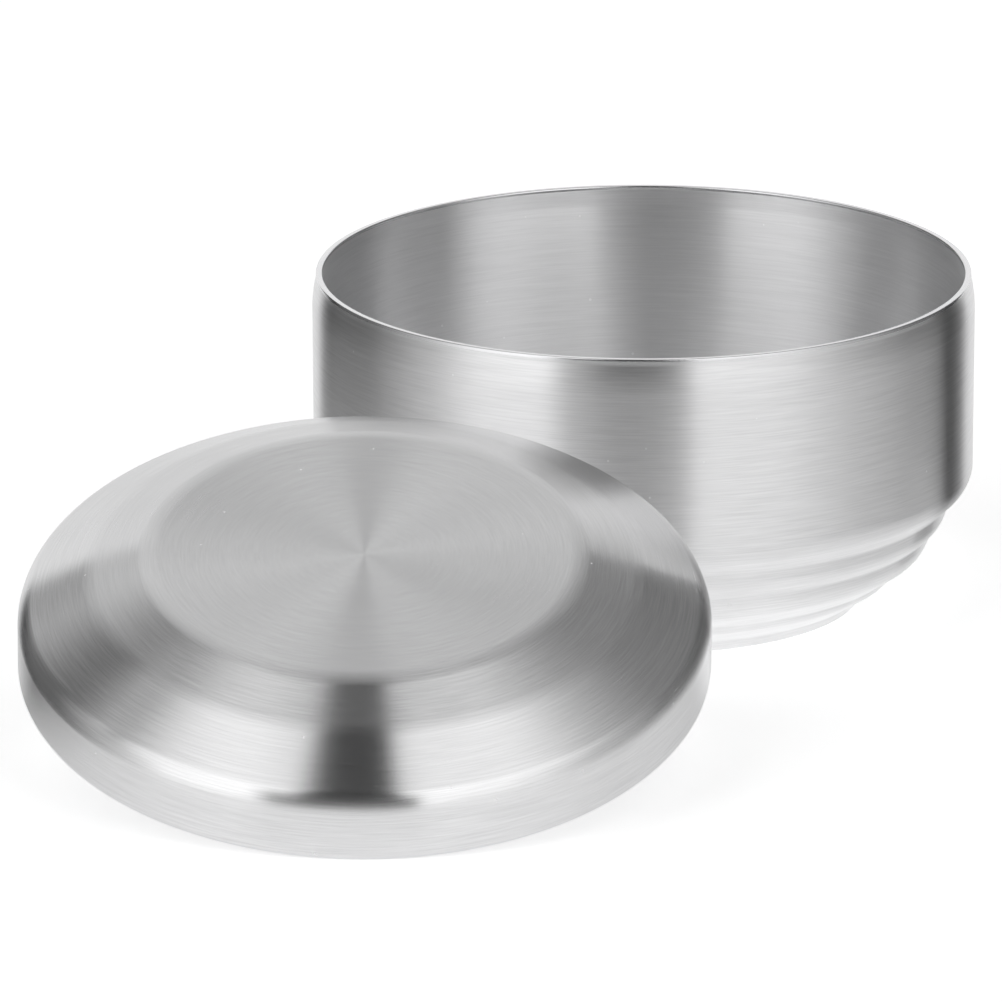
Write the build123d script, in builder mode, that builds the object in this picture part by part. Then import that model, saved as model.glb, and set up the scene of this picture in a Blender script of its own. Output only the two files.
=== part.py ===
# Insulated stainless bowl with its lid taken off and leaning against it.
# Millimetres. The bowl stands on the floor at z = 0 with its axis on Z, and the
# lid leans on the wall at the front left, as if it had just been put down.
import os
from math import cos, radians, sin, sqrt

from build123d import *

# Sizes that drive the whole object
bowl_diameter = 120.0
bowl_height = 61.0
sheet = 0.6
lid_fit = 0.4
lid_lean = 18.0
lid_shift = 50.0
lean_gap = 0.3

# Heights of the stepped body, measured up from the table
foot_height = 2.3
low_step_bottom = 5.3
low_step_top = 6.6
mid_step_bottom = 10.4
mid_step_top = 13.7
high_step_bottom = 15.9
high_step_top = 19.2
wall_bottom = 23.0

# How far each step stands in from the widest part of the wall
wall_taper = 0.3
high_step_in = 4.6
high_step_taper = 0.6
mid_step_in = 7.8
mid_step_taper = 0.5
low_step_in = 14.1
low_step_taper = 0.6
foot_in = 19.6
foot_taper = 1.6

# Bends in the drawn sheet
foot_bend = 1.3
inner_bend = 1.0
low_step_bend = 2.6
mid_step_bend = 5.0
high_step_bend = 4.0
wall_bend = 5.0
neck_bend = 20.0
lip_bend = 2.0

# Foot ring, base panel and the hole that is plugged after welding
foot_ring_width = 3.3
foot_ring_slope = 1.0
base_recess = 1.5
plug_stem = 3.0
plug_head = 5.0
plug_thickness = 0.6

# Mouth of the bowl
neck_drop = 4.4
lip_drop = 1.2
lip_in = 0.65
bead_height = 0.6
bead_round = 0.3

# Liner that holds the food
liner_lip_height = 2.9
liner_floor = 9.0
liner_foot_in = 6.4
liner_corner = 22.0
liner_shoulder = 8.0

# Lid cover, heights measured up from the lid's own edge
lid_height = 23.3
lid_break_height = 19.0
lid_skirt = 11.6
lid_break_in = 12.7
lid_disc_in = 23.1
lid_shoulder_bend = 4.8
lid_break_bend = 20.0
lid_disc_bend = 10.0

# Liner of the lid
seat_depth = 8.0
seat_width = 5.0
seat_bend = 0.9
lid_air_gap = 4.1
pan_break_in = 13.0
pan_break_drop = 3.8
pan_flat_in = 23.0
pan_bend = 2.0

# Radii that follow from the sizes above
wall_radius = bowl_diameter / 2
wall_foot = wall_radius - wall_taper
high_step = wall_radius - high_step_in
mid_step = wall_radius - mid_step_in
low_step = wall_radius - low_step_in
foot_top = wall_radius - foot_in
foot_edge = foot_top - foot_taper
ring_edge = foot_edge - foot_ring_width
panel_edge = ring_edge - foot_ring_slope
lip_radius = wall_radius - lip_in
lip_middle = lip_radius - sheet
liner_lip = lip_middle - sheet
sheet_top = bowl_height - bead_height

# The lid slips over the wall, so its two sheets lie outside the bowl
skirt_inside = wall_radius + lid_fit
skirt_middle = skirt_inside + sheet
lid_radius = skirt_middle + sheet
pan_height = lid_height - lid_air_gap - 2 * sheet

# Where the lid leans: its edge rests on the floor, and it is slid back towards
# the bowl until the edge is one lean gap away from the wall
lean = radians(lid_lean)
lid_z = (lid_radius - bead_round) * sin(lean) + bead_round - bead_round * cos(lean)
reach = wall_radius + lean_gap
edge_spots = [(lid_radius * cos(radians(a)), lid_radius * sin(radians(a)) * cos(lean)) for a in range(180)]
lid_y = min(-sqrt(reach**2 - (x - lid_shift) ** 2) - y for x, y in edge_spots if abs(x - lid_shift) < reach)
lid_base = Plane(origin=(-lid_shift, lid_y, lid_z), x_dir=(1, 0, 0), z_dir=(0, -sin(lean), cos(lean)))
lid_plane = Plane(origin=lid_base.origin, x_dir=lid_base.x_dir, z_dir=-lid_base.y_dir)
lid_axis = Axis(origin=lid_base.origin, direction=lid_base.z_dir)

os.makedirs("parts", exist_ok=True)

# Outer shell: one drawn sheet with a foot ring, three rounded steps and a wall
with BuildPart() as outer_shell:
    with BuildSketch(Plane.XZ):
        with BuildLine():
            FilletPolyline(
                (plug_stem, base_recess),
                (panel_edge, base_recess),
                (ring_edge, 0),
                (foot_edge, 0),
                (foot_top, foot_height),
                (low_step - low_step_taper, low_step_bottom),
                (low_step, low_step_top),
                (mid_step - mid_step_taper, mid_step_bottom),
                (mid_step, mid_step_top),
                (high_step - high_step_taper, high_step_bottom),
                (high_step, high_step_top),
                (wall_foot, wall_bottom),
                (wall_radius, bowl_height - neck_drop),
                (lip_radius, bowl_height - lip_drop),
                (lip_radius, sheet_top),
                radius=[
                    inner_bend,
                    inner_bend,
                    foot_bend,
                    inner_bend,
                    low_step_bend,
                    inner_bend,
                    mid_step_bend,
                    inner_bend,
                    high_step_bend,
                    inner_bend,
                    wall_bend,
                    neck_bend,
                    lip_bend,
                ],
            )
            offset(amount=sheet, side=Side.LEFT)
        make_face()
    revolve(axis=Axis.Z)

# Inner shell: the food liner, which meets the outer shell only at the lip
with BuildPart() as inner_shell:
    with BuildSketch(Plane.XZ):
        with BuildLine():
            FilletPolyline(
                (0, liner_floor),
                (wall_radius - liner_foot_in, liner_floor),
                (liner_lip, sheet_top - liner_lip_height),
                (liner_lip, sheet_top),
                radius=[liner_corner, liner_shoulder],
            )
            offset(amount=sheet, side=Side.RIGHT)
        make_face()
    revolve(axis=Axis.Z)

# Rim bead: the rounded weld that closes both sheets at the lip
with BuildPart() as rim_bead:
    with BuildSketch(Plane.XZ):
        with BuildLine():
            Line((liner_lip, sheet_top), (lip_radius, sheet_top))
            FilletPolyline(
                (lip_radius, sheet_top),
                (lip_radius, bowl_height),
                (liner_lip, bowl_height),
                (liner_lip, sheet_top),
                radius=bead_round,
            )
        make_face()
    revolve(axis=Axis.Z)

# Base plug: a small headed disc that seals the hole in the base panel
with BuildPart() as base_plug:
    with BuildSketch(Plane.XY.offset(base_recess - plug_thickness)):
        Circle(plug_head)
    extrude(amount=plug_thickness)
    with BuildSketch(Plane.XY.offset(base_recess)):
        Circle(plug_stem)
    extrude(amount=sheet)

# Lid cover: flat disc, two sloping bands, rounded shoulder and upright skirt
with BuildPart() as lid_cover:
    with BuildSketch(lid_plane):
        with BuildLine():
            FilletPolyline(
                (lid_radius, bead_height),
                (lid_radius, lid_skirt),
                (lid_radius - lid_break_in, lid_break_height),
                (lid_radius - lid_disc_in, lid_height),
                (0, lid_height),
                radius=[lid_shoulder_bend, lid_break_bend, lid_disc_bend],
            )
            offset(amount=sheet, side=Side.LEFT)
        make_face()
    revolve(axis=lid_axis)

# Lid liner: inner skirt, the ledge that sits on the lip, and a raised pan
with BuildPart() as lid_liner:
    with BuildSketch(lid_plane):
        with BuildLine():
            FilletPolyline(
                (skirt_inside, bead_height),
                (skirt_inside, seat_depth),
                (skirt_inside - seat_width, seat_depth),
                (skirt_inside - pan_break_in, pan_height - pan_break_drop),
                (skirt_inside - pan_flat_in, pan_height),
                (plug_stem, pan_height),
                radius=[seat_bend, seat_bend, pan_bend, pan_bend],
            )
            offset(amount=sheet, side=Side.RIGHT)
        make_face()
    revolve(axis=lid_axis)

# Lid edge bead: the rounded weld that closes both sheets at the skirt
with BuildPart() as lid_edge_bead:
    with BuildSketch(lid_plane):
        with BuildLine():
            Line((lid_radius, bead_height), (skirt_inside, bead_height))
            FilletPolyline(
                (skirt_inside, bead_height),
                (skirt_inside, 0),
                (lid_radius, 0),
                (lid_radius, bead_height),
                radius=bead_round,
            )
        make_face()
    revolve(axis=lid_axis)

# Lid plug: seals the hole in the pan after the two sheets are welded
with BuildPart() as lid_plug:
    with BuildSketch(lid_plane):
        with BuildLine():
            Polyline(
                (0, pan_height - plug_thickness),
                (plug_head, pan_height - plug_thickness),
                (plug_head, pan_height),
                (plug_stem, pan_height),
                (plug_stem, pan_height + sheet),
                (0, pan_height + sheet),
                close=True,
            )
        make_face()
    revolve(axis=lid_axis)

outer_shell.part.label = "outer_shell"
inner_shell.part.label = "inner_shell"
rim_bead.part.label = "rim_bead"
base_plug.part.label = "base_plug"
lid_cover.part.label = "lid_cover"
lid_liner.part.label = "lid_liner"
lid_edge_bead.part.label = "lid_edge_bead"
lid_plug.part.label = "lid_plug"

export_step(outer_shell.part, "parts/outer_shell.step")
export_step(inner_shell.part, "parts/inner_shell.step")
export_step(rim_bead.part, "parts/rim_bead.step")
export_step(base_plug.part, "parts/base_plug.step")
export_step(lid_cover.part, "parts/lid_cover.step")
export_step(lid_liner.part, "parts/lid_liner.step")
export_step(lid_edge_bead.part, "parts/lid_edge_bead.step")
export_step(lid_plug.part, "parts/lid_plug.step")
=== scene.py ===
# %% [markdown]
# # An insulated steel bowl and its lid
#
# The bowl is two drawn steel sheets with air between them, welded at the lip. Its lid is made
# the same way and has been taken off: it leans on the bowl, with its front edge on the table.
# Everything here is round, so every piece is made as on a potter's wheel, and the steel gets
# its looks from fine brushing lines that run round the axis.

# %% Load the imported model
import math
from collections import namedtuple

import bmesh
import bpy
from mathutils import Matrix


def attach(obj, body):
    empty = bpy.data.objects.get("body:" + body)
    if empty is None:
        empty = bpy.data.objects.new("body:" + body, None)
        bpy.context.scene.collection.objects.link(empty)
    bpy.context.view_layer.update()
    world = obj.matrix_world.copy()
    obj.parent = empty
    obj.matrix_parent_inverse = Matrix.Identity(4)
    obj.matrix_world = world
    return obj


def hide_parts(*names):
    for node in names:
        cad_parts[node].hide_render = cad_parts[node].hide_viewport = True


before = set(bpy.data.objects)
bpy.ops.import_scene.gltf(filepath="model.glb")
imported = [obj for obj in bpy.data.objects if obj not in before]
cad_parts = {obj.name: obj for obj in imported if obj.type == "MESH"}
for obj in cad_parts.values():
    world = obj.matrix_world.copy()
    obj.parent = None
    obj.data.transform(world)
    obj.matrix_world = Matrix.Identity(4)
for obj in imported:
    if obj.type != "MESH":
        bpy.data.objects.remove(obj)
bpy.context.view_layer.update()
print("nodes on the frame:", ", ".join(sorted(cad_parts)))

# %% [markdown]
# ## Tools of the wheel
#
# A turned piece starts as one ring of points. The ring is extruded from station to station of
# the piece's outline, moved up or down and made wider or narrower each time, just as a turner
# pulls a wall. The corners are softened afterwards, each with the bend radius of the real sheet.
# A spin of a drawn profile would give the same shape, but pulling rings keeps each ring whole,
# so that it can be picked by its radius and height later.

# %% Start a ring of points
MM = 0.001
AROUND = 192
NEAR = 0.02 * MM

# A station of an outline, in millimetres; its corner stays sharp where no bend is given
Station = namedtuple("Station", "radius height bend", defaults=[0])


def on_ring(point, station):
    """Tell whether a point lies on the ring of a station."""
    level = abs(point.z - station.height * MM) < NEAR
    return level and abs(point.xy.length - station.radius * MM) < NEAR


def pick_ring(station):
    """Select the edges that lie on one ring of the piece in edit mode."""
    sketch = bmesh.from_edit_mesh(bpy.context.object.data)
    for part in (sketch.verts, sketch.edges, sketch.faces):
        for item in part:
            item.select = False
    for edge in sketch.edges:
        if all(on_ring(end.co, station) for end in edge.verts):
            edge.select_set(True)
    bmesh.update_edit_mesh(bpy.context.object.data)


def start_ring(name, station, fill):
    """Put a ring of points on the wheel, open or filled."""
    bpy.ops.object.select_all(action="DESELECT")
    bpy.ops.mesh.primitive_circle_add(
        vertices=AROUND, radius=station.radius * MM, fill_type=fill, location=(0, 0, station.height * MM)
    )
    piece = bpy.context.object
    piece.name = name
    piece.data.name = name
    bpy.ops.object.transform_apply(location=True, rotation=True, scale=True)
    return piece


print("a ring has", AROUND, "points")

# %% Pull the ring through an outline and round the corners
TURN = 2 * math.pi
BEND_STEPS = 8


def pull(stations):
    """Extrude the piece's first ring through the stations of its outline."""
    bpy.ops.object.mode_set(mode="EDIT")
    bpy.ops.mesh.select_mode(type="EDGE")
    pick_ring(stations[0])
    for here, there in zip(stations, stations[1:]):
        rise = (there.height - here.height) * MM
        wider = there.radius / here.radius
        bpy.ops.mesh.extrude_edges_move(TRANSFORM_OT_translate={"value": (0, 0, rise)})
        bpy.ops.transform.resize(value=(wider, wider, 1))


def soften(stations, steps):
    """Round the corners between the stations, each with its own bend radius."""
    for before, corner, after in zip(stations, stations[1:], stations[2:]):
        way_in = math.atan2(corner.height - before.height, corner.radius - before.radius)
        way_out = math.atan2(after.height - corner.height, after.radius - corner.radius)
        turn = abs((way_out - way_in + math.pi) % TURN - math.pi)
        cut = corner.bend * math.tan(turn / 2) * MM
        pick_ring(corner)
        bpy.ops.mesh.bevel(offset=cut, offset_type="OFFSET", segments=steps, affect="EDGES")


print("a bend has", BEND_STEPS, "steps, if nothing else is asked for")

# %% Give a wall its thickness and smooth it
SHEET = 0.6
DOUBLE = 0.001 * MM
SHEET_ANGLE = 40
BEAD_ANGLE = 60


def tidy_normals():
    """Merge doubled points and turn all faces of the open wall outwards."""
    bpy.ops.mesh.select_all(action="SELECT")
    bpy.ops.mesh.remove_doubles(threshold=DOUBLE)
    bpy.ops.mesh.normals_make_consistent(inside=False)
    bpy.ops.object.mode_set(mode="OBJECT")


def thicken(piece, side):
    """Make the wall one sheet thick: side 1 grows along its normals, side -1 against them."""
    wall = piece.modifiers.new("sheet", "SOLIDIFY")
    wall.thickness = SHEET * MM
    wall.offset = side
    wall.use_even_offset = True
    bpy.ops.object.modifier_apply(modifier=wall.name)


def smooth(piece, angle):
    """Shade round bends smoothly and keep flat bands flat."""
    bpy.ops.object.shade_smooth_by_angle(angle=math.radians(angle))
    even = piece.modifiers.new("even_normals", "WEIGHTED_NORMAL")
    even.keep_sharp = True
    bpy.ops.object.modifier_apply(modifier=even.name)
    print(piece.name, "has", len(piece.data.polygons), "faces")


print("the sheets are", SHEET, "mm thick")

# %% [markdown]
# ## Which way the brushing runs
#
# The real sheets are brushed while they spin, so each line runs round the axis. A texture in
# plain X, Y and Z would cut across that. So each point keeps a small note of its own: where it
# is round the axis, and how far along the outline. The note is made while the piece still
# stands upright on the wheel, and it stays true when the lid is tilted afterwards. A second
# note, a wrap, tells the shader which way is round. Its seam lies where one turn ends.

# %% Note the turning direction on a piece
NOTE = "brushing"
WRAP = "turning"
HALF_TURN = 0.5
WRAP_RUN = 100


def note_brushing(piece, slope):
    """Store cosine, sine and run in millimetres on each point, and a wrap for the tangent.

    The run is the way out from the axis, plus the height (slope 1) or less it (slope -1).
    """
    mesh = piece.data
    note = mesh.attributes.new(NOTE, "FLOAT_VECTOR", "POINT")
    runs = []
    turns = []
    for point, spot in zip(mesh.vertices, note.data):
        reach = point.co.xy.length
        run = (reach + slope * point.co.z) / MM
        turn = math.atan2(point.co.y, point.co.x) / TURN
        runs.append(run)
        turns.append(turn if reach > NEAR else None)
        spot.vector = (math.cos(turn * TURN), math.sin(turn * TURN), run)
    wrap = mesh.uv_layers.new(name=WRAP)
    for face in mesh.polygons:
        known = [turns[i] for i in face.vertices if turns[i] is not None]
        crosses = max(known) - min(known) > HALF_TURN
        shifted = [turn + 1 if crosses and turn < 0 else turn for turn in known]
        middle = sum(shifted) / len(shifted)
        for loop, i in zip(face.loop_indices, face.vertices):
            turn = turns[i]
            if turn is None:
                turn = middle
            elif crosses and turn < 0:
                turn += 1
            wrap.data[loop].uv = (turn, runs[i] / WRAP_RUN)


print("each point notes its brushing, and each face its wrap")


# %% Turn one whole sheet
def turn_sheet(name, stations, side, slope, fill="NOTHING", steps=BEND_STEPS):
    """Pull an outline, round its corners, thicken the wall and note its brushing."""
    sheet = start_ring(name, stations[0], fill)
    pull(stations)
    soften(stations, steps)
    tidy_normals()
    thicken(sheet, side)
    smooth(sheet, SHEET_ANGLE)
    note_brushing(sheet, slope)
    return sheet


print("the wheel is ready")

# %% [markdown]
# ## Outer shell
#
# The outside of the bowl is one deep-drawn sheet: a flat foot ring, three rounded steps that
# stack outwards like saucers, and a wall that is nearly upright and draws in a little at the
# lip, where the lid goes over it. Foot, steps and wall are all the same kind of move, out over a
# bend and up, so one small function gives the stations of each. Sizes are in millimetres.

# %% Sizes of the bowl
WALL = 60.0
BOWL_TALL = 61.0
NECK_DROP = 4.4
LIP_DROP, LIP_IN, LIP_BEND = 1.2, 0.65, 2.0
BEAD_TALL = 0.6
LIP = WALL - LIP_IN
LIP_INSIDE = LIP - 2 * SHEET
SHEET_TOP = BOWL_TALL - BEAD_TALL
PLUG_HOLE, BASE_RECESS = 3.0, 1.5
FOOT_IN, FOOT_TAPER, FOOT_RING, FOOT_SLOPE = 19.6, 1.6, 3.3, 1.0
INNER_BEND = 1.0
print("bowl", 2 * WALL, "mm across and", BOWL_TALL, "mm tall")


# %% Turn the outer shell
def step(inset, taper, bottom, top, bend, over=INNER_BEND):
    """Two stations: one step stands in from the wall and widens by its taper on the way up."""
    edge = WALL - inset
    return [Station(edge - taper, bottom, bend), Station(edge, top, over)]


ring_edge = WALL - FOOT_IN - FOOT_TAPER - FOOT_RING
shell_line = [
    Station(PLUG_HOLE, BASE_RECESS),
    Station(ring_edge - FOOT_SLOPE, BASE_RECESS, INNER_BEND),
    Station(ring_edge, 0, INNER_BEND),
    *step(inset=FOOT_IN, taper=FOOT_TAPER, bottom=0, top=2.3, bend=1.3),
    *step(inset=14.1, taper=0.6, bottom=5.3, top=6.6, bend=2.6),
    *step(inset=7.8, taper=0.5, bottom=10.4, top=13.7, bend=5.0),
    *step(inset=4.6, taper=0.6, bottom=15.9, top=19.2, bend=4.0),
    *step(inset=0, taper=0.3, bottom=23.0, top=BOWL_TALL - NECK_DROP, bend=5.0, over=20.0),
    Station(LIP, BOWL_TALL - LIP_DROP, LIP_BEND),
    Station(LIP, SHEET_TOP),
]
bowl_outside = turn_sheet("bowl_outside", shell_line, side=-1, slope=1)

# %% [markdown]
# ## Food liner and lip
#
# The liner is a plain cup inside the shell. It has a wide round corner at the floor, so that a
# spoon reaches everywhere, and meets the shell only at the lip. It starts from a small filled
# disc, the hub, because a ring can't be pulled from a single point. A small rounded bead of weld
# closes the two sheets at the lip.

# %% Turn the liner
HUB = 2.0
LINER_FLOOR, LINER_FOOT_IN, LINER_LIP_TALL = 9.0, 6.4, 2.9
LINER_CORNER, LINER_SHOULDER = 22.0, 8.0
LINER_STEPS = 24
liner_line = [
    Station(HUB, LINER_FLOOR),
    Station(WALL - LINER_FOOT_IN, LINER_FLOOR, LINER_CORNER),
    Station(LIP_INSIDE, SHEET_TOP - LINER_LIP_TALL, LINER_SHOULDER),
    Station(LIP_INSIDE, SHEET_TOP),
]
bowl_inside = turn_sheet("bowl_inside", liner_line, side=1, slope=1, fill="TRIFAN", steps=LINER_STEPS)

# %% Turn a closed bead
BEAD_BEND = 0.3
BEAD_STEPS = 6


def turn_bead(name, first, second, weld, crown, slope):
    """Pull a ring from the weld over the crown and back, bridge it shut and round the crown."""
    corners = [
        Station(first, weld),
        Station(first, crown, BEAD_BEND),
        Station(second, crown, BEAD_BEND),
        Station(second, weld),
    ]
    bead = start_ring(name, corners[0], "NOTHING")
    pull(corners)
    pick_ring(corners[0])
    start = [edge.index for edge in bmesh.from_edit_mesh(bead.data).edges if edge.select]
    pick_ring(corners[-1])
    sketch = bmesh.from_edit_mesh(bead.data)
    sketch.edges.ensure_lookup_table()
    for index in start:
        sketch.edges[index].select_set(True)
    bmesh.update_edit_mesh(bead.data)
    bpy.ops.mesh.bridge_edge_loops()
    soften(corners, BEAD_STEPS)
    tidy_normals()
    smooth(bead, BEAD_ANGLE)
    note_brushing(bead, slope)
    return bead


lip_bead = turn_bead("lip_bead", first=LIP, second=LIP_INSIDE, weld=SHEET_TOP, crown=BOWL_TALL, slope=1)

# %% [markdown]
# ## Lid
#
# The lid is a flat disc, two sloping bands and an upright skirt, with a second sheet inside
# that has a ledge to sit on the lip. Both are turned upright, where the numbers are simple, and
# then tilted and moved to where the lid leans on the bowl. Its skirt slips over the wall, so the
# lid's radius follows from the wall's. How far in front of the bowl it lies follows from the lean:
# it is slid back until its edge is one small gap away from the wall.

# %% Where the lid leans
LID_FIT = 0.4
SKIRT = WALL + LID_FIT
LID = SKIRT + 2 * SHEET
LID_LEAN = math.radians(18)
LID_ASIDE = 50.0
LEAN_GAP = 0.3
BACK_HALF = range(180)


def lean_distance():
    """How far in front of the bowl's axis the lid's middle lies, with its edge one gap from the wall."""
    reach = WALL + LEAN_GAP
    distances = []
    for degrees in BACK_HALF:
        angle = math.radians(degrees)
        across = LID * math.cos(angle) - LID_ASIDE
        back = LID * math.sin(angle) * math.cos(LID_LEAN)
        if abs(across) < reach:
            distances.append(math.sqrt(reach**2 - across**2) + back)
    return max(distances)


def lean_lid(piece):
    """Tilt a lid piece and put it against the bowl, with its place kept in its mesh."""
    bpy.ops.object.select_all(action="DESELECT")
    piece.select_set(True)
    bpy.context.view_layer.objects.active = piece
    piece.rotation_euler = (LID_LEAN, 0, 0)
    piece.location = LID_SPOT
    bpy.ops.object.transform_apply(location=True, rotation=True, scale=True)


# The lid's middle is so high that its rounded edge just touches the table
lid_rise = (LID - BEAD_BEND) * math.sin(LID_LEAN) + BEAD_BEND - BEAD_BEND * math.cos(LID_LEAN)
LID_SPOT = (-LID_ASIDE * MM, -lean_distance() * MM, lid_rise * MM)
print("the lid leans at", [round(place / MM, 1) for place in LID_SPOT], "mm")

# %% Turn the lid's cover
LID_TALL, LID_BREAK, LID_SKIRT = 23.3, 19.0, 11.6
DISC_IN, BREAK_IN = 23.1, 12.7
DISC_BEND, BREAK_BEND, SHOULDER_BEND = 10.0, 20.0, 4.8
COVER_STEPS = 10
cover_line = [
    Station(HUB, LID_TALL),
    Station(LID - DISC_IN, LID_TALL, DISC_BEND),
    Station(LID - BREAK_IN, LID_BREAK, BREAK_BEND),
    Station(LID, LID_SKIRT, SHOULDER_BEND),
    Station(LID, BEAD_TALL),
]
lid_top = turn_sheet("lid_top", cover_line, side=-1, slope=-1, fill="TRIFAN", steps=COVER_STEPS)
lean_lid(lid_top)

# %% Turn the lid's liner and edge
AIR_GAP = 4.1
PAN = LID_TALL - AIR_GAP - 2 * SHEET
PAN_IN, PAN_BREAK_IN, PAN_BREAK_DROP, PAN_BEND = 23.0, 13.0, 3.8, 2.0
SEAT, SEAT_WIDE, SEAT_BEND = 8.0, 5.0, 0.9
pan_line = [
    Station(PLUG_HOLE, PAN),
    Station(SKIRT - PAN_IN, PAN, PAN_BEND),
    Station(SKIRT - PAN_BREAK_IN, PAN - PAN_BREAK_DROP, PAN_BEND),
    Station(SKIRT - SEAT_WIDE, SEAT, SEAT_BEND),
    Station(SKIRT, SEAT, SEAT_BEND),
    Station(SKIRT, BEAD_TALL),
]
lid_inside = turn_sheet("lid_inside", pan_line, side=1, slope=-1)
lean_lid(lid_inside)
lid_edge = turn_bead("lid_edge", first=SKIRT, second=LID, weld=BEAD_TALL, crown=0, slope=-1)
lean_lid(lid_edge)

# %% [markdown]
# ## Shader nodes by hand
#
# A finish is a small net of nodes. Adding each node, setting it and linking it takes many lines,
# so a few helpers do that: one adds a node and feeds its sockets, and the others are the three
# nodes that come again and again, a sum, a change of range and a colour made lighter or darker.


# %% Helpers for shader nodes
def feed(tree, socket, value):
    """Link another node's socket to this one, or set a plain value on it."""
    if isinstance(value, bpy.types.NodeSocket):
        tree.links.new(value, socket)
    else:
        socket.default_value = value


def add_node(tree, kind, inputs, **settings):
    """Add a node, make its settings and feed its sockets, by name or by number."""
    node = tree.nodes.new(kind)
    for name, value in settings.items():
        setattr(node, name, value)
    for name, value in inputs.items():
        feed(tree, node.inputs[name], value)
    return node


def calculate(tree, operation, *values):
    """One math node on sockets or plain numbers."""
    return add_node(tree, "ShaderNodeMath", dict(enumerate(values)), operation=operation).outputs["Value"]


def rescale(tree, value, given, wanted, **settings):
    """Carry a value from the given range over to the wanted one, and stop at its ends."""
    ends = dict(zip(("From Min", "From Max", "To Min", "To Max"), (*given, *wanted)))
    return add_node(tree, "ShaderNodeMapRange", {"Value": value, **ends}, **settings).outputs["Result"]


def shaded(tree, tint, shade):
    """A tint made lighter or darker all over by a shade."""
    scale = add_node(tree, "ShaderNodeVectorMath", {0: tint, "Scale": shade}, operation="SCALE")
    return scale.outputs["Vector"]


print("node helpers are ready")

# %% [markdown]
# ## Brushed steel
#
# Brushing leaves long fine scratches. Light is scattered across them and hardly along them, so
# a reflection is drawn out into a streak. The shader's anisotropy does that, steered by the wrap
# made above. On top of it, noise that is stretched far along the lines varies the roughness, the
# tint and the height from line to line. The lines are weaker near the axis, where the steel
# passes the brush slowly. A wide soft noise stands for handling, and a few tiny pale specks stand
# for the nicks and dust that every used steel thing has.

# %% Draw the brushing lines and the nicks
FINE_LINES = (5.0, 3.2)
BROAD_LINES = (2.5, 0.8)
LINE_DETAIL, LINE_BREAKUP = 2.0, 0.65

# Most values of a noise lie in this span
NOISE_SPAN = (0.3, 0.7)
HAND_SIZE, HAND_DETAIL, HAND_ROUGH = 34.0, 2.0, 0.015
NICK_GRID, NICK_EDGE = 180.0, (0.03, 0.05)


def brushing_lines(tree, note, along, across):
    """Noise drawn out round the axis: along counts the breaks in a line, across the lines."""
    spread = add_node(tree, "ShaderNodeMapping", {"Vector": note, "Scale": (along, along, across)})
    noise = {"Scale": 1.0, "Detail": LINE_DETAIL, "Roughness": LINE_BREAKUP}
    noise["Vector"] = spread.outputs["Vector"]
    return add_node(tree, "ShaderNodeTexNoise", noise).outputs["Fac"]


def handling(tree, place):
    """A wide soft noise, as wiping and fingers leave it."""
    noise = {"Vector": place, "Scale": HAND_SIZE, "Detail": HAND_DETAIL}
    return add_node(tree, "ShaderNodeTexNoise", noise).outputs["Fac"]


def nicks(tree, place, inside, outside):
    """A value that changes only in tiny scattered dots."""
    cells = add_node(tree, "ShaderNodeTexVoronoi", {"Vector": place, "Scale": NICK_GRID})
    return rescale(tree, cells.outputs["Distance"], NICK_EDGE, (inside, outside))


print("lines across a millimetre:", FINE_LINES[1], "fine and", BROAD_LINES[1], "broad")

# %% Mix a brushed steel
SCRATCH_TURN = 0.25
ROUGH_SHARE = 1 / 6
SLOW_RUN, SLOW_SHARE = (-20.0, 55.0), 0.3
BROAD_SHADE = (0.97, 0.99)
NICK_SHADE, NICK_METAL = 0.25, 0.3
LINE_RELIEF = 0.2


def brushed_steel(name, tint, roughness, stretch, depth, uneven):
    """A metal with brushing lines that follow the note on each point."""
    steel = bpy.data.materials.new(name)
    steel.use_nodes = True
    tree = steel.node_tree
    skin = tree.nodes["Principled BSDF"].inputs
    skin["Anisotropic"].default_value = stretch
    skin["Anisotropic Rotation"].default_value = SCRATCH_TURN
    wrap = add_node(tree, "ShaderNodeTangent", {}, direction_type="UV_MAP", uv_map=WRAP)
    feed(tree, skin["Tangent"], wrap.outputs["Tangent"])

    note = add_node(tree, "ShaderNodeAttribute", {}, attribute_name=NOTE).outputs["Vector"]
    place = tree.nodes.new("ShaderNodeTexCoord").outputs["Object"]
    fine = brushing_lines(tree, note, *FINE_LINES)
    broad = brushing_lines(tree, note, *BROAD_LINES)

    spread = uneven * ROUGH_SHARE
    line_rough = rescale(tree, fine, NOISE_SPAN, (roughness - spread, roughness + spread))
    hand_rough = rescale(tree, handling(tree, place), NOISE_SPAN, (-HAND_ROUGH, HAND_ROUGH))
    feed(tree, skin["Roughness"], calculate(tree, "ADD", line_rough, hand_rough))

    run = add_node(tree, "ShaderNodeSeparateXYZ", {"Vector": note}).outputs["Z"]
    strength = rescale(tree, run, SLOW_RUN, (SLOW_SHARE, 1.0))
    line_shade = calculate(tree, "MULTIPLY", rescale(tree, fine, NOISE_SPAN, (-uneven, uneven)), strength)
    lined = calculate(tree, "ADD", line_shade, rescale(tree, broad, NOISE_SPAN, BROAD_SHADE))
    shade = calculate(tree, "ADD", lined, nicks(tree, place, NICK_SHADE, 0.0))
    feed(tree, skin["Base Color"], shaded(tree, tint, shade))
    feed(tree, skin["Metallic"], nicks(tree, place, NICK_METAL, 1.0))

    relief = {"Strength": LINE_RELIEF, "Distance": depth * MM, "Height": broad}
    feed(tree, skin["Normal"], add_node(tree, "ShaderNodeBump", relief).outputs["Normal"])
    print("steel", name, "with roughness", roughness)
    return steel


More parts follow.
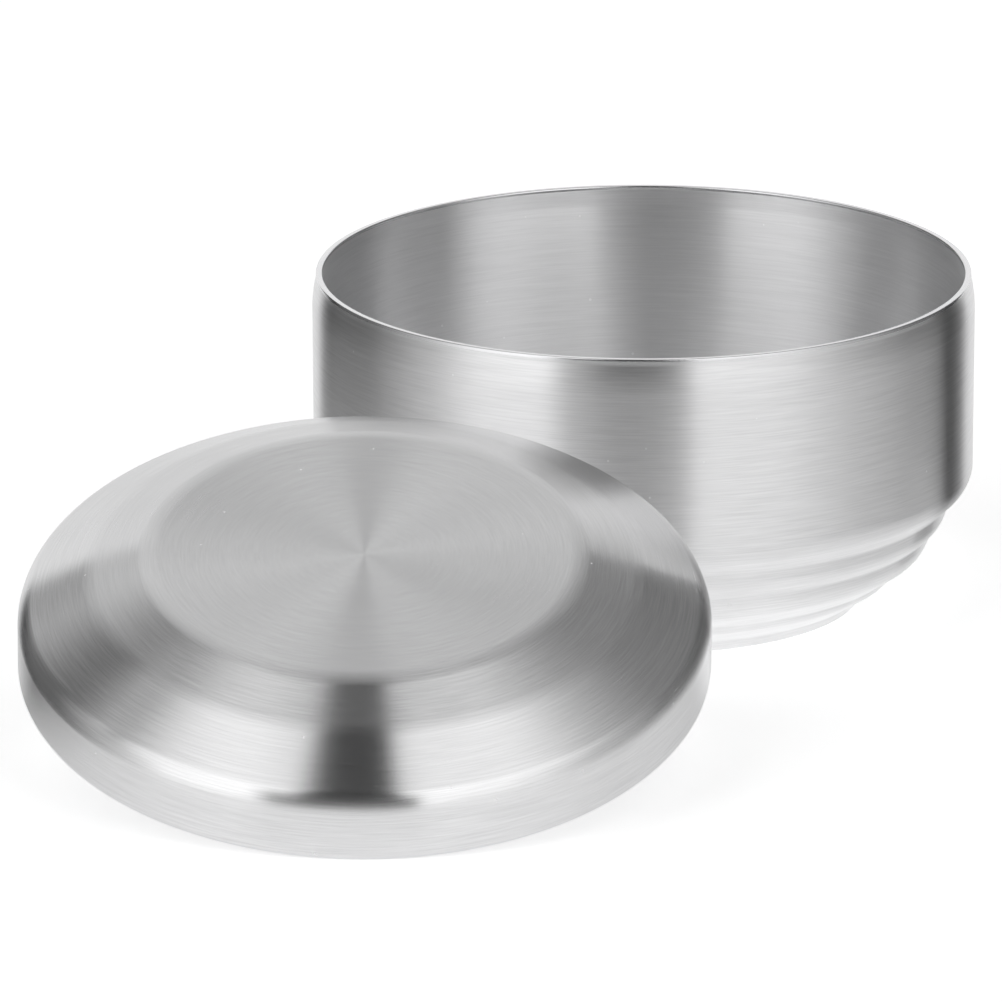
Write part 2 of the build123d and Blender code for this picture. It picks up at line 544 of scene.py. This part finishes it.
# %% The four finishes
SILVER = (0.78, 0.78, 0.785)
PALE_SILVER = (0.88, 0.88, 0.885)
EDGE_SILVER = (0.74, 0.74, 0.75)
outside_steel = brushed_steel(
    "brushed_outside", SILVER, roughness=0.36, stretch=1.0, depth=0.004, uneven=0.07
)
lid_steel = brushed_steel("brushed_lid", SILVER, roughness=0.25, stretch=1.0, depth=0.001, uneven=0.08)
inside_steel = brushed_steel(
    "satin_inside", PALE_SILVER, roughness=0.34, stretch=0.95, depth=0.001, uneven=0.04
)
edge_steel = brushed_steel(
    "polished_edge", EDGE_SILVER, roughness=0.2, stretch=0.3, depth=0.001, uneven=0.03
)

# %% [markdown]
# The two plugs keep their solids, and these carry no note of a turning direction. A plug is
# pressed, not brushed, so its steel is dull and evenly grained, from a noise in plain space.

# %% Mix the pressed steel of the plugs
PLUG_TINT = (0.6, 0.6, 0.61)
PLUG_GRAIN = 900.0
PLUG_ROUGH = (0.32, 0.5)
PLUG_SHADE = (0.85, 1.1)
WHOLE_SPAN = (0.0, 1.0)
plug_steel = bpy.data.materials.new("plug_steel")
plug_steel.use_nodes = True
tree = plug_steel.node_tree
skin = tree.nodes["Principled BSDF"].inputs
skin["Metallic"].default_value = 1.0
place = tree.nodes.new("ShaderNodeTexCoord").outputs["Object"]
grain = add_node(tree, "ShaderNodeTexNoise", {"Vector": place, "Scale": PLUG_GRAIN}).outputs["Fac"]
feed(tree, skin["Roughness"], rescale(tree, grain, WHOLE_SPAN, PLUG_ROUGH))
feed(tree, skin["Base Color"], shaded(tree, PLUG_TINT, rescale(tree, grain, WHOLE_SPAN, PLUG_SHADE)))
print("plug steel with an even grain")

# %% [markdown]
# ## Hand the pieces to the frame
#
# Each turned piece stands for the solid of the same form, rides on the body that the solid
# belongs to, and takes its finish. The two plugs keep their solids. The photograph's
# lid doesn't show in the bowl's wall, so the lid is left out of what the steel reflects.

# %% Dress and place the pieces
LEFT_OUT = "lid"
dressing = [
    (bowl_outside, "bowl", "outer_shell", "brushed_outside", outside_steel),
    (bowl_inside, "bowl", "inner_shell", "satin_inside", inside_steel),
    (lip_bead, "bowl", "rim_bead", "polished_edge", edge_steel),
    (lid_top, "lid", "lid_cover", "brushed_lid", lid_steel),
    (lid_inside, "lid", "lid_liner", "satin_inside", inside_steel),
    (lid_edge, "lid", "lid_edge_bead", "polished_edge", edge_steel),
]
for piece, body, node, slot, steel in dressing:
    piece.data.materials.append(steel)
    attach(piece, body)
    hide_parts(node)
    piece.visible_glossy = body != LEFT_OUT
    print(piece.name, "stands for", node, "on", body)
for node in ("base_plug", "lid_plug"):
    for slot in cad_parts[node].material_slots:
        slot.material = plug_steel

# %% [markdown]
# ## Table
#
# The photograph's ground is plain white. The table is a pale sheet that takes the object's soft
# shadow. Seen directly or in the steel, it gets a little light of its own, so that it reads as
# white without more light falling on the object. In the steel it is brighter near the bowl's foot,
# so that the steps stand out from the wall, and in front of the lid, so that its skirt stays light.

# %% Lay the table
TABLE_LEFT, TABLE_RIGHT = -140 * MM, 200 * MM
TABLE_FRONT, TABLE_BACK = -270 * MM, 1600 * MM
bpy.ops.object.select_all(action="DESELECT")
middle = ((TABLE_LEFT + TABLE_RIGHT) / 2, (TABLE_FRONT + TABLE_BACK) / 2, 0)
bpy.ops.mesh.primitive_plane_add(size=1.0, location=middle)
table = bpy.context.object
table.name = "table"
table.scale = (TABLE_RIGHT - TABLE_LEFT, TABLE_BACK - TABLE_FRONT, 1)
bpy.ops.object.transform_apply(location=True, rotation=True, scale=True)
print("table in metres:", [round(side, 2) for side in table.dimensions])

# %% Give the table its own light
PALE = (0.82, 0.82, 0.82, 1)
SEEN_SHINE = 0.53
STEEL_SHINE = 0.35
BOWL_FOOT = (0, 0, 0)
FOOT_SHINE, FOOT_SPAN = 0.4, (60 * MM, 95 * MM)
LID_FRONT = (-LID_ASIDE * MM, -185 * MM, 0)
LID_SHINE, LID_SPAN = 0.1, (20 * MM, 90 * MM)
paper = bpy.data.materials.new("table_paper")
paper.use_nodes = True
table.data.materials.append(paper)
tree = paper.node_tree
tree.nodes.clear()
place = tree.nodes.new("ShaderNodeTexCoord").outputs["Object"]


def near(spot, shine, span):
    """Light that fades out between two distances from a spot."""
    gap = add_node(tree, "ShaderNodeVectorMath", {0: place, 1: spot}, operation="DISTANCE")
    return rescale(tree, gap.outputs["Value"], span, (shine, 0.0), interpolation_type="SMOOTHSTEP")


ray = tree.nodes.new("ShaderNodeLightPath").outputs
in_steel = calculate(tree, "MAXIMUM", ray["Is Glossy Ray"], ray["Is Transmission Ray"])
foot_shine = near(BOWL_FOOT, FOOT_SHINE, FOOT_SPAN)
lid_shine = near(LID_FRONT, LID_SHINE, LID_SPAN)
shine = calculate(tree, "ADD", calculate(tree, "ADD", foot_shine, lid_shine), STEEL_SHINE)
seen = calculate(tree, "MULTIPLY", ray["Is Camera Ray"], SEEN_SHINE)
strength = calculate(tree, "MULTIPLY_ADD", in_steel, shine, seen)
glow = add_node(tree, "ShaderNodeEmission", {"Strength": strength}).outputs["Emission"]
matt = add_node(tree, "ShaderNodeBsdfDiffuse", {"Color": PALE}).outputs["BSDF"]
both = add_node(tree, "ShaderNodeAddShader", {0: matt, 1: glow}).outputs["Shader"]
add_node(tree, "ShaderNodeOutputMaterial", {"Surface": both})
print("table shines", SEEN_SHINE, "to the eye and", STEEL_SHINE, "to the steel")

# %% [markdown]
# A bright thing on a white ground loses its outline. Photographers stand a narrow dark card
# just out of the picture: the steel shows it as a dark line along the edge.

# %% Stand the black card
CARD_SIDE = 85 * MM
CARD_WIDE, CARD_TALL = 25 * MM, 120 * MM
CARD_TONE = (0.1, 0.1, 0.1, 1)
CARD_ROUGH = 0.9
black = bpy.data.materials.new("card_black")
black.use_nodes = True
skin = black.node_tree.nodes["Principled BSDF"].inputs
skin["Base Color"].default_value = CARD_TONE
skin["Roughness"].default_value = CARD_ROUGH
bpy.ops.mesh.primitive_plane_add(
    size=1.0, location=(CARD_SIDE, CARD_WIDE / 2, CARD_TALL / 2), rotation=(0, math.pi / 2, 0)
)
black_card = bpy.context.object
black_card.name = "card_black"
black_card.scale = (CARD_TALL, CARD_WIDE, 1)
bpy.ops.object.transform_apply(location=True, rotation=True, scale=True)
black_card.data.materials.append(black)
black_card.visible_camera = False
black_card.visible_diffuse = False
black_card.visible_shadow = False
print("black card", round(CARD_SIDE / MM), "mm to the right")

# %% [markdown]
# ## Studio
#
# Steel shows what stands round it. The photograph's bands tell what that was: a dark strip on
# the camera's side that runs up over the roof, a wide soft panel to the left and one to the
# right, a thin dark seam in the left one, darker corners behind, and a white ground. The room is
# painted on the world by direction, as a light tent would be: a ring for its walls, a ring for
# the slopes above them and a roof. Lamps would do too, but a ring is easier to fit to the bands.

# %% Find the bearing of each direction
TENT_PEAK = 1.7
RAMP_MIDDLE = 0.5
world = bpy.data.worlds.new("light_tent")
bpy.context.scene.world = world
world.use_nodes = True
tree = world.node_tree
tree.nodes.clear()
way = tree.nodes.new("ShaderNodeTexCoord").outputs["Generated"]
split = add_node(tree, "ShaderNodeSeparateXYZ", {"Vector": way}).outputs
forward = calculate(tree, "MULTIPLY", split["Y"], -1.0)
bearing = calculate(tree, "ARCTAN2", split["X"], forward)
around = rescale(tree, bearing, (-math.pi, math.pi), WHOLE_SPAN)


def ring(levels):
    """One ring of the tent: brightness by bearing, 0 towards the camera and 90 to the right."""
    ramp = add_node(tree, "ShaderNodeValToRGB", {"Fac": around})
    stops = ramp.color_ramp.elements
    while len(stops) < len(levels):
        stops.new(RAMP_MIDDLE)
    for stop, (degrees, level) in zip(stops, levels):
        stop.position = math.radians(degrees) / TURN + HALF_TURN
        tone = level / TENT_PEAK
        stop.color = (tone, tone, tone, 1)
    return ramp.outputs["Color"]


def over(lower, upper, start, end):
    """Go from a lower ring to an upper one between two heights in degrees."""
    heights = (math.sin(math.radians(start)), math.sin(math.radians(end)))
    rise = rescale(tree, split["Z"], heights, WHOLE_SPAN, interpolation_type="SMOOTHSTEP")
    mix = add_node(tree, "ShaderNodeMixRGB", {"Fac": rise, "Color1": lower, "Color2": upper})
    return mix.outputs["Color"]


print("bearings run from -180 to 180 degrees")

# %% Paint the light tent
walls = ring([
    (-180, 1.0), (-151, 1.0),  # white ground behind
    (-147, 0.02), (-139, 0.02), (-133, 0.13), (-110, 0.15),  # black gap and dim corner
    (-78, 0.7), (-60, 1.3), (-34, 1.45),  # left panel
    (-27, 0.2), (-20, 0.05), (14, 0.05),  # dark strip
    (18, 1.3), (45, 1.15), (75, 0.55),  # right panel
    (104, 0.2), (125, 0.13), (145, 0.1),  # dim corner
    (149, 1.0), (180, 1.0),  # white ground behind
])
slopes = ring([
    (-180, 0.66), (-150, 0.85), (-136, 0.55),  # pale back
    (-123, 0.1), (-107, 0.05),  # dark corner
    (-95, 0.6), (-89, 0.9), (-86, 0.3), (-82, 0.3),  # edge of the left panel and its seam
    (-78, 1.1), (-66, 1.3), (-24, 1.5),  # left panel
    (-17, 0.02), (9, 0.02),  # dark strip
    (14, 1.5), (60, 1.35), (85, 0.7),  # right panel
    (110, 0.25), (150, 0.2),  # dim corner
    (165, 0.66), (180, 0.66),  # pale back
])
roof = ring([
    (-180, 0.32), (-158, 0.32),  # back
    (-146, 0.24), (-42, 0.24),  # left
    (-34, 0.02), (24, 0.02),  # dark strip
    (32, 0.22), (146, 0.22),  # right
    (158, 0.32), (180, 0.32),  # back
])
tent = over(over(walls, slopes, start=22, end=42), roof, start=66, end=82)
print("light tent of two rings and a roof")

# %% Show the tent to the steel and plain white to the camera
WHITE = (1, 1, 1, 1)
lit = add_node(tree, "ShaderNodeBackground", {"Color": tent, "Strength": TENT_PEAK}).outputs["Background"]
plain = add_node(tree, "ShaderNodeBackground", {"Color": WHITE}).outputs["Background"]
to_camera = tree.nodes.new("ShaderNodeLightPath").outputs["Is Camera Ray"]
choice = add_node(tree, "ShaderNodeMixShader", {0: to_camera, 1: lit, 2: plain}).outputs["Shader"]
add_node(tree, "ShaderNodeOutputWorld", {"Surface": choice})
print("white behind everything")

# %% [markdown]
# ## Camera
#
# A long lens from far away, as in a catalogue picture, keeps the lid from looking larger than
# the bowl. It looks a little down, so that the lid's top and the bowl's lip both show.

# %% Set the camera
AIM = (-25.8 * MM, -46.0 * MM, 30.9 * MM)
FAR = 5000 * MM
SIGHT_END = 20000 * MM
LOOK_DOWN = math.radians(16)
SENSOR, LENS = 36, 1000
bpy.ops.object.camera_add(
    location=(AIM[0], AIM[1] - FAR * math.cos(LOOK_DOWN), AIM[2] + FAR * math.sin(LOOK_DOWN)),
    rotation=(math.pi / 2 - LOOK_DOWN, 0, 0),
)
camera = bpy.context.object
camera.data.sensor_width = SENSOR
camera.data.lens = LENS
camera.data.clip_end = SIGHT_END
bpy.context.scene.camera = camera
bpy.context.scene.view_settings.view_transform = "Standard"
print("camera in metres:", [round(place, 3) for place in camera.location])
